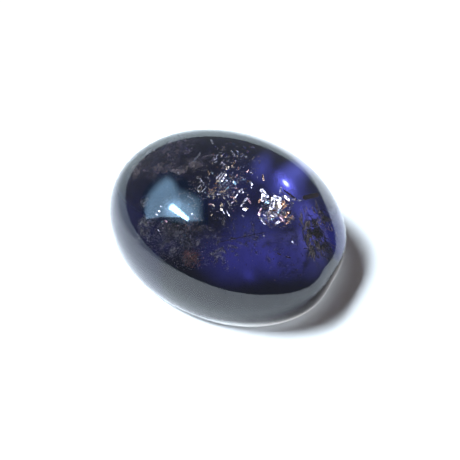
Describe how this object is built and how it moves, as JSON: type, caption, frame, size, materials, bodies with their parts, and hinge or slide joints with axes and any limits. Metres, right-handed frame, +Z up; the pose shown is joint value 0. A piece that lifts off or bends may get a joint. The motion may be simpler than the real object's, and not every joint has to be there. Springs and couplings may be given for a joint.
{
  "type": "iolite cabochon",
  "caption": "Oval cabochon of violet iolite with a high polished dome, a lower edge that rounds in to a flat base, one end cut a little short, and metallic platelets grown inside the stone.",
  "frame": {"origin": "on the flat base the stone rests on, straight under the top of the dome", "axes": "+Z up through the top of the dome, +X along the long axis of the oval towards the end that was cut short, +Y along its short axis"},
  "size_m": [0.0096, 0.008, 0.0042],
  "materials": {
    "iolite": "polished, see-through deep violet blue, with faint wear from handling",
    "platelets": "thin metallic plates and blades of iron oxide, steel grey to copper and gold, mirror bright",
    "rust": "dull dark brown grains, fibres and healed cracks inside the stone"
  },
  "bodies": {
    "root": {"iolite_cabochon": "iolite"}
  },
  "joints": []
}
